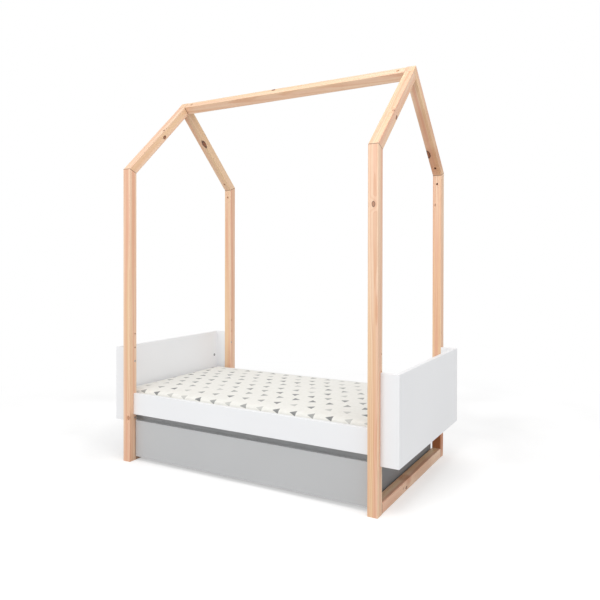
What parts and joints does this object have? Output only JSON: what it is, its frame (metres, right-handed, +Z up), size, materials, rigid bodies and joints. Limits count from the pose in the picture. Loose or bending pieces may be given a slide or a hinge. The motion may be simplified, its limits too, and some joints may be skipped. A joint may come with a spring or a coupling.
{
  "type": "convertible crib",
  "caption": "House-shaped convertible crib in its bed form: pine posts, rafters and ridge beam, white end panels and side rails, a slatted base with mattress, and a grey roll-out drawer.",
  "frame": {"origin": "on the floor, at the middle of the length and of the depth", "axes": "+X along the bed towards the right end as seen from the drawer's side, +Y towards the rear side, +Z up; the drawer opens towards -Y"},
  "size_m": [1.44, 0.795, 1.7595],
  "materials": {
    "pine": "clear satin lacquer on knotty pine",
    "white_board": "satin white lacquer on board",
    "grey_board": "satin grey lacquer on board",
    "drawer_board": "matt dark grey board",
    "drawer_panel": "thin white board",
    "slat_wood": "plain softwood",
    "dowel_wood": "beech dowel",
    "tape": "woven tape",
    "mattress_cover": "cotton sheet with a printed triangle pattern",
    "steel": "zinc-plated",
    "zinc": "cast zinc",
    "brown_zinc": "cast zinc with a brown coating",
    "castor_plastic": "moulded plastic"
  },
  "bodies": {
    "frame": {"post_front_left": "pine", "post_front_right": "pine", "post_rear_left": "pine", "post_rear_right": "pine", "rafter_front_left": "pine", "rafter_front_right": "pine", "rafter_rear_left": "pine", "rafter_rear_right": "pine", "ridge_beam": "pine", "foot_rail_left": "pine", "foot_rail_right": "pine", "end_board_left": "white_board", "end_board_right": "white_board", "return_front_left": "white_board", "return_front_right": "white_board", "return_rear_left": "white_board", "return_rear_right": "white_board", "side_rail_front": "white_board", "side_rail_rear": "white_board", "base_bar_front": "grey_board", "base_bar_rear": "grey_board", "slats": "slat_wood", "slat_tapes": "tape", "ridge_cams": "brown_zinc", "cams": "zinc", "cam_bolts": "steel", "cross_nuts": "steel", "tie_bolts": "steel", "panel_bolts": "steel", "panel_inserts": "zinc", "frame_dowels": "dowel_wood", "bar_screws": "steel"},
    "mattress": {"mattress": "mattress_cover"},
    "drawer": {"drawer_front": "grey_board", "drawer_spacers": "grey_board", "drawer_box_front": "drawer_board", "drawer_box_back": "drawer_board", "drawer_side_left": "drawer_board", "drawer_side_right": "drawer_board", "drawer_bottom": "drawer_panel", "drawer_bearers": "slat_wood", "drawer_front_screws": "steel", "drawer_box_screws": "steel", "castor_screws": "steel", "castor_housings": "steel", "castor_axles": "steel"},
    "wheel_front_left": {"wheel_front_left": "castor_plastic"},
    "wheel_rear_left": {"wheel_rear_left": "castor_plastic"},
    "wheel_front_right": {"wheel_front_right": "castor_plastic"},
    "wheel_rear_right": {"wheel_rear_right": "castor_plastic"}
  },
  "joints": [
    {"name": "drawer_slide", "type": "slide", "parent": "frame", "child": "drawer", "axis": [0, -1, 0], "range_m": [0, 0.6]},
    {"name": "mattress_lift", "type": "slide", "parent": "frame", "child": "mattress", "axis": [0, 0, 1], "range_m": [0, 0.3]},
    {"name": "wheel_front_left_roll", "type": "hinge", "parent": "drawer", "child": "wheel_front_left", "pos_m": [-0.5, -0.2705, 0.02], "axis": [1, 0, 0], "continuous": true},
    {"name": "wheel_rear_left_roll", "type": "hinge", "parent": "drawer", "child": "wheel_rear_left", "pos_m": [-0.5, 0.296, 0.02], "axis": [1, 0, 0], "continuous": true},
    {"name": "wheel_front_right_roll", "type": "hinge", "parent": "drawer", "child": "wheel_front_right", "pos_m": [0.5, -0.2705, 0.02], "axis": [1, 0, 0], "continuous": true},
    {"name": "wheel_rear_right_roll", "type": "hinge", "parent": "drawer", "child": "wheel_rear_right", "pos_m": [0.5, 0.296, 0.02], "axis": [1, 0, 0], "continuous": true}
  ],
  "couplings": [
    {"joint": "wheel_front_left_roll", "follows": "drawer_slide", "rad_per_m": 50},
    {"joint": "wheel_rear_left_roll", "follows": "drawer_slide", "rad_per_m": 50},
    {"joint": "wheel_front_right_roll", "follows": "drawer_slide", "rad_per_m": 50},
    {"joint": "wheel_rear_right_roll", "follows": "drawer_slide", "rad_per_m": 50}
  ]
}
